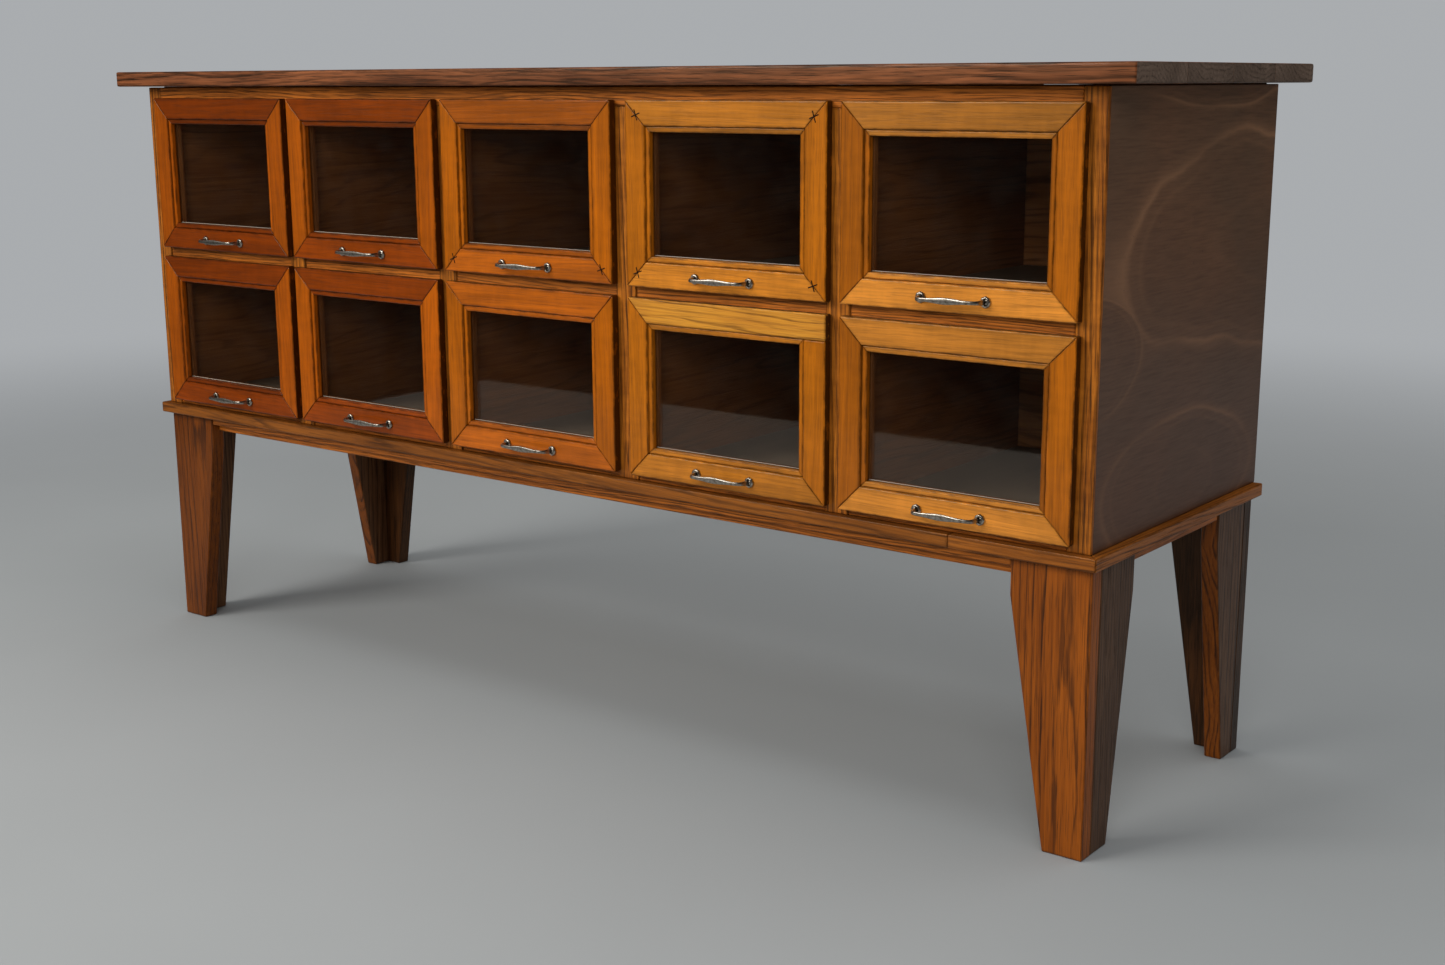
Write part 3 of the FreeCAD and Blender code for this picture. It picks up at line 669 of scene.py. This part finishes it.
def leg_board(points, side, end, sign, inward):
    """One of a leg's two boards, with its taper read from the corner points of its solid."""
    low, high = points.min(0), points.max(0)
    heights = points[:, 2]
    faces_front = high[0] - low[0] > 0.05       # wide along X; the other board is only thick there
    axis = 0 if faces_front else 1
    share = np.ptp(points[heights < 0.002][:, axis]) / (high[axis] - low[axis])
    straight = heights[(heights > 0.1) & (heights < high[2] - 0.01)].mean()
    half = (high[2] - low[2]) / 2
    extra = ((straight - half, straight - half + 0.01, straight - half - 0.01), (), ())
    material = leg_side_oak
    # painted shade on the rear legs' wide boards
    if faces_front and end == "rear":
        material = rear_leg_shaded_oak
    elif faces_front:
        material = leg_oak if side == "right" else leg_left_oak
    board = slab(*shrunk(low, high, 0.0001), Z, (-sign, 0, 0) if faces_front else (0, inward, 0),
                 material, r=0.0016, step=0.03, extra=extra, wear=0.0004,
                 cut="flat" if faces_front else "rift", warp=tapered(share, straight))
    if end == "rear" and not faces_front:
        board.materials[1] = leg_edge_oak
    return board


def build_legs():
    for side, sign in (("left", -1), ("right", 1)):
        for end, inward in (("front", 1), ("rear", -1)):
            node = "leg_%s_%s" % (end, side)
            boards = [leg_board(points, side, end, sign, inward) for points in cad_solids(node)]
            piece(node + "_oak", boards, "carcass", node)


# ================================================================ drawers
REPAIRED = "drawer_bottom_4"            # its top member is newer oak, butted at the right
# Corners with crossed brads: -1 or 1 for left or right, and for bottom or top.
BRADDED = {"drawer_top_3": ((1, -1), (-1, -1)),
           "drawer_top_4": ((-1, 1), (1, 1), (-1, -1), (1, -1))}
BRAD_INSET = 0.020                      # from the front's edges to the middle of a brad cross
MEMBER = 0.035                          # width of a front's four members
OVERHANG_SHADE = 0.75                   # painted shade: how much darker the upper members of the top-row fronts are, under the top's overhang


def brad_cross(corner_x, corner_z, face_y):
    """Two crossed nail shanks across a mitre, flush with the varnish."""
    bars = []
    for slope in (0.35, -1.25):
        along = (math.cos(slope), 0, math.sin(slope))
        across = (-math.sin(slope), 0, math.cos(slope))
        bar = Board((0.0155, 0.0014, 0.0008), brad_metal, r=0.0003, step=0.01)
        bars.append(bar.place((corner_x, face_y, corner_z), along, across))
    return bars


def shade_and_soil_sides(board, low, high):
    """Painted shade and old dirt on the sides of a drawer front, behind its face, where they look into
    the narrow gaps.
    """
    reach, depth = 0.0008, 0.0017
    p = board.points
    side = np.minimum(np.abs(p - low), np.abs(p - high))[:, [0, 2]].min(axis=1) < reach
    behind = p[:, 1] > low[1] + depth
    board.wear_and_shade = np.where(side & behind, SHADED_AND_SOILED, board.wear_and_shade)


def build_front(name, column, row):
    """A drawer front: four mitred members, four glazing beads, and the brads of some corners."""
    node = name + "_front"
    low_all, high_all = (np.array(v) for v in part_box(node))
    centre = (low_all + high_all) / 2
    boards = []
    for low, high in cad_boxes(node):
        bead = min(high[0] - low[0], high[2] - low[2]) < 0.02
        middle = (low + high) / 2
        horizontal = high[0] - low[0] > high[2] - low[2]
        upper, right = middle[2] > centre[2], middle[0] > centre[0]
        if horizontal:
            along, across, material = X, (0, 0, -1 if upper else 1), rail_woods[column]
        else:
            along, across, material = Z, (-1 if right else 1, 0, 0), upright_woods[column]
        low, high = shrunk(low, high, 0.00035 if bead else GAP)
        mitres = (1, 1)
        if name == REPAIRED and not bead:
            if horizontal and upper:
                mitres, material = (1, 0), repair_oak
            elif not horizontal and right:
                mitres = (1, 0)
                high[2] -= MEMBER
        board = slab(low, high, along, across, material, r=0.0009 if bead else 0.0016,
                     warp=mitred(*mitres), cut="rift", step=0.04)
        # painted shade from the top's overhang on the top row's upper members
        if row == "top" and horizontal and upper:
            board.tone -= OVERHANG_SHADE
        # painted shade and dirt on the front's sides
        shade_and_soil_sides(board, low_all, high_all)
        boards.append(board)
    half = (high_all - low_all) / 2
    for side, end in BRADDED.get(name, ()):
        x = centre[0] + side * (half[0] - BRAD_INSET)
        z = centre[2] + end * (half[2] - BRAD_INSET)
        boards += brad_cross(x, z, low_all[1])
    piece(name + "_front_wood", boards, name, node)


def build_box(name):
    """The box behind a front. The back stands behind the frame's middle, so its Y is above 0."""
    node = name + "_box"
    boards = []
    for low, high in cad_boxes(node):
        low, high = shrunk(low, high, 0.0001)
        is_floor = high[2] - low[2] < 0.01
        is_back = high[1] - low[1] < 0.03 and low[1] > 0
        material = box_floor if is_floor else box_back if is_back else box_pine
        boards.append(auto_slab(low, high, material, r=0.0008, step=0.06))
    piece(name + "_box_wood", boards, name, node)


def build_glass(name):
    """A pane, and a pale line before it along the lower bead: a painted highlight where the bead's top
    edge catches the light.
    """
    node = name + "_glass"
    low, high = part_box(node)
    pane = slab(low, high, X, Z, glass, r=0.0003, step=0.2)
    bead, proud, tall = 0.0085, 0.0012, 0.0009
    line_low = (low.x + bead, low.y - proud, low.z + bead)
    line_high = (high.x - bead, low.y - 0.0001, low.z + bead + tall)
    # the painted highlight along the lower bead
    line = slab(line_low, line_high, X, Z, bead_highlight, r=0.0003, step=0.03)
    piece(name + "_pane", [pane, line], name, node)


def tube(rings):
    """Faces that join rings of equal length, closed at both ends."""
    count = len(rings[0])
    points = [p for ring in rings for p in ring]
    faces = []
    for i in range(len(rings) - 1):
        for k in range(count):
            a, b = i * count + k, i * count + (k + 1) % count
            faces.append((a, b, b + count, a + count))
    faces.append(tuple(range(count - 1, -1, -1)))
    faces.append(tuple(range(len(points) - count, len(points))))
    return points, faces


STRAP_HALF, STRAP_ROOT, STRAP_BOW = 0.0435, 0.0015, 0.0203
PAD_X = 0.0455                          # from the handle's middle to the middle of a pad


def strap_point(t):
    """The grip's centre line, t from -1 to 1: the place along it and how far out it bows."""
    x = STRAP_HALF * math.sin(t * math.pi / 2) * 1.02
    return x, STRAP_ROOT + (STRAP_BOW - STRAP_ROOT) * (1 - abs(t) ** 5.0) ** 0.62


def strap_rings():
    """The grip: a flat strap, thin and leaf-shaped, that bows out from the pads."""
    stations, corners = 41, 16
    rings = []
    for i in range(stations):
        t = -1 + 2 * i / (stations - 1)
        inward = -1 if t > 0 else 1
        x, out = strap_point(t)
        next_x, next_out = strap_point(t + 0.01 * inward)
        direction = Vector((next_x - x, -(next_out - out), 0)).normalized() * inward
        side = Vector((-direction.y, direction.x, 0))
        leaf = math.exp(-((x / 0.019) ** 2))
        tall = 0.0023 + 0.0021 * leaf + 0.0014 * abs(t) ** 8
        thick = 0.0015 + 0.0004 * abs(t) ** 6
        ring = []
        for k in range(corners):
            angle = 2 * math.pi * k / corners
            c, s = math.cos(angle), math.sin(angle)
            u = thick * math.copysign(abs(c) ** 0.7, c)
            v = tall * math.copysign(abs(s) ** 0.7, s)
            ring.append(Vector((x, -out, 0)) + side * u + Vector((0, 0, v)))
        rings.append(ring)
    return rings


def pad_rings(x):
    """A foot pad: eight-sided outside, with a sunk round seat for the screw."""
    corners = 32
    profile = ((0.0071, 0.0, 1), (0.0072, 0.0012, 1), (0.0070, 0.0020, 1), (0.0062, 0.0028, 0.8),
               (0.0050, 0.0031, 0.3), (0.0042, 0.0031, 0), (0.0038, 0.0026, 0), (0.0036, 0.0012, 0))
    rings = []
    for radius, out, eight in profile:      # eight: from round, 0, to eight-sided, 1
        ring = []
        for k in range(corners):
            angle = 2 * math.pi * k / corners
            turn = (angle % (math.pi / 4)) - math.pi / 8
            octagon = math.cos(math.pi / 8) / math.cos(turn) * 1.04
            r = radius * (1 + (octagon - 1) * eight)
            ring.append(Vector((x + r * math.cos(angle), -out, r * math.sin(angle))))
        rings.append(ring)
    return rings


def screw_rings(x, side):
    """Half of a slotted screw head: a D shape beside the slot."""
    head_radius, half_slot, corners = 0.0034, 0.0004, 12
    rings = []
    for scale, out in ((1.0, 0.0008), (1.0, 0.0019), (0.86, 0.0025), (0.5, 0.0028)):
        r = head_radius * scale
        start = math.asin(half_slot / r)
        ring = []
        for k in range(corners):
            angle = start + (math.pi - 2 * start) * k / (corners - 1)
            ring.append(Vector((x + r * math.cos(angle), -out, side * r * math.sin(angle))))
        rings.append(ring if side > 0 else ring[::-1])
    return rings


def handle_mesh():
    """One bow handle with its foot pads and slotted screws. All ten drawers share the mesh."""
    groups = [strap_rings(), pad_rings(-PAD_X), pad_rings(PAD_X)]
    for x in (-PAD_X - 0.0015, PAD_X + 0.0015):
        groups += [screw_rings(x, 1), screw_rings(x, -1)]
    mesh = bpy.data.meshes.new("handle")
    points, faces = [], []
    for rings in groups:
        ring_points, ring_faces = tube(rings)
        faces += [tuple(i + len(points) for i in face) for face in ring_faces]
        points += ring_points
    mesh.from_pydata(points, [], faces)
    mesh.polygons.foreach_set("use_smooth", [True] * len(mesh.polygons))
    mesh.materials.append(handle_metal)
    mesh.validate()
    mesh.update()
    return mesh


def build_handle(name, mesh):
    node = name + "_handle"
    low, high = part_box(node)
    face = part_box(name + "_front")[0].y
    obj = bpy.data.objects.new(name + "_bow_handle", mesh)
    bpy.context.scene.collection.objects.link(obj)
    obj.location = ((low.x + high.x) / 2, face, (low.z + high.z) / 2)
    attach(obj, name)
    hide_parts(node)


def build_drawers():
    handle = handle_mesh()
    for row in ROWS:
        for column in COLUMNS:
            name = "drawer_%s_%d" % (row, column)       # of the drawer and of its body
            build_front(name, column, row)
            build_box(name)
            build_glass(name)
            build_handle(name, handle)


# ================================================================ stage, light and camera
FLOOR = (0.36, 0.373, 0.373)
SKY = (0.26, 0.268, 0.276)              # what lights the scene
BACKDROP = (0.40, 0.415, 0.43)          # what the camera sees behind the counter
MIRRORED_SKY = (0.012, 0.012, 0.012)    # what panes, varnish and metal mirror
FADE_START, FADE_FULL = 1.3, 4.8        # where the floor starts and ends to fade to the backdrop
IMAGE_WIDTH = 1445
FOCAL_LENGTH = 1803.19                  # in pixels of the photograph's frame
CAMERA_PLACE = (1.82453, -2.14872, 0.94707)
CAMERA_YAW, CAMERA_PITCH, CAMERA_ROLL = 0.658236, -0.218637, -0.004119


def stage_sheet(name, corners, faces, material, mirrored):
    """A level sheet of floor. The outer one stays out of mirror reflections."""
    mesh = bpy.data.meshes.new(name)
    mesh.from_pydata([(x, y, 0) for x, y in corners], [], faces)
    mesh.materials.append(material)
    sheet = bpy.data.objects.new(name, mesh)
    sheet.visible_glossy = mirrored
    bpy.context.scene.collection.objects.link(sheet)


def build_stage():
    """A pale matt floor that fades to the backdrop's colour with distance from the counter."""
    n = Nodes("studio_floor")
    where = n.add("TexCoord").outputs["Object"]
    cloud = n.noise(where, (1.5, 1.5, 1.5), detail=3.0)
    colour = n.mix(cloud, tuple(0.95 * c for c in FLOOR), tuple(1.05 * c for c in FLOOR))
    floor = n.add("BsdfPrincipled", {"Base Color": colour, "Roughness": 0.8,
                                     "Specular IOR Level": 0.1}).outputs[0]
    flat = n.scaled(where, (1.0, 1.0, 0.0))
    distance = n.add("VectorMath", {0: flat}, operation="LENGTH").outputs["Value"]
    fade = n.add("MapRange", {"Value": distance, "From Min": FADE_START, "From Max": FADE_FULL},
                 interpolation_type="SMOOTHSTEP").outputs[0]
    haze = n.add("Emission", {"Color": (*BACKDROP, 1.0)}).outputs[0]
    material = n.finish("MixShader", {0: fade, 1: floor, 2: haze})
    left, front, near, far = -2.35, -2.46, 4.0, 40.0
    inner = [(left, front), (near, front), (near, near), (left, near)]
    outer = [(-far, -far), (far, -far), (far, far), (-far, far)]
    ring = [(4, 5, 1, 0), (5, 6, 2, 1), (6, 7, 3, 2), (7, 4, 0, 3)]
    stage_sheet("floor", inner, [(0, 1, 2, 3)], material, True)
    stage_sheet("floor_outer", inner + outer, ring, material, False)


def area_light(name, place, target, size, power, colour=(1, 1, 1), mirrored=False,
               spread=math.pi):
    light = bpy.data.lights.new(name, "AREA")
    light.shape = "RECTANGLE"
    light.size, light.size_y = size
    light.energy = power
    light.color = colour
    light.spread = spread
    obj = bpy.data.objects.new(name, light)
    obj.location = place
    obj.rotation_euler = (Vector(target) - Vector(place)).to_track_quat("-Z", "Y").to_euler()
    obj.visible_glossy = mirrored
    bpy.context.scene.collection.objects.link(obj)


def build_world():
    """An even soft sky for light. It shows as a plain pale backdrop and is dim where mirrored."""
    world = bpy.data.worlds.new("studio")
    bpy.context.scene.world = world
    world.use_nodes = True
    tree = world.node_tree
    path = tree.nodes.new("ShaderNodeLightPath")

    def choose(ray, off, on):
        """One colour for rays of a kind, and another colour or an earlier choice for the rest."""
        node = tree.nodes.new("ShaderNodeMix")
        node.data_type = "RGBA"
        tree.links.new(path.outputs[ray], node.inputs[0])
        if isinstance(off, bpy.types.NodeSocket):
            tree.links.new(off, node.inputs[6])
        else:
            node.inputs[6].default_value = (*off, 1)
        node.inputs[7].default_value = (*on, 1)
        return node.outputs[2]

    colour = choose("Is Glossy Ray", SKY, MIRRORED_SKY)
    colour = choose("Is Camera Ray", colour, BACKDROP)
    tree.links.new(colour, tree.nodes["Background"].inputs[0])


def build_lights():
    build_world()
    area_light("key", (-1.6, -3.3, 2.5), (0, 0, 0.5), (2.2, 1.8), 35, (1.0, 0.98, 0.95),
               mirrored=True, spread=math.radians(100))
    area_light("fill", (2.3, -3.3, 2.2), (0.0, 0, 0.6), (1.8, 1.6), 42, (0.97, 0.98, 1.0))
    area_light("top", (0.0, 0.2, 3.8), (0, 0, 0.8), (4.5, 3.2), 75)


def build_camera():
    """Placed and aimed as a person stands with a camera, right of the counter's middle."""
    data = bpy.data.cameras.new("camera")
    data.sensor_width = 36.0
    data.lens = FOCAL_LENGTH / IMAGE_WIDTH * data.sensor_width
    camera = bpy.data.objects.new("camera", data)
    sin_yaw, cos_yaw = math.sin(CAMERA_YAW), math.cos(CAMERA_YAW)
    level, rise = math.cos(CAMERA_PITCH), math.sin(CAMERA_PITCH)
    forward = Vector((-sin_yaw * level, cos_yaw * level, rise))
    right = Vector((cos_yaw, sin_yaw, 0))
    up = right.cross(forward)
    c, s = math.cos(CAMERA_ROLL), math.sin(CAMERA_ROLL)
    turn = Matrix((c * right + s * up, c * up - s * right, -forward)).transposed().to_4x4()
    camera.matrix_world = Matrix.Translation(CAMERA_PLACE) @ turn
    bpy.context.scene.collection.objects.link(camera)
    bpy.context.scene.camera = camera


build_top()
build_sides()
build_face_frame()
build_inside()
build_base()
build_legs()
build_drawers()
build_stage()
build_lights()
build_camera()
bpy.context.scene.view_settings.view_transform = "Standard"
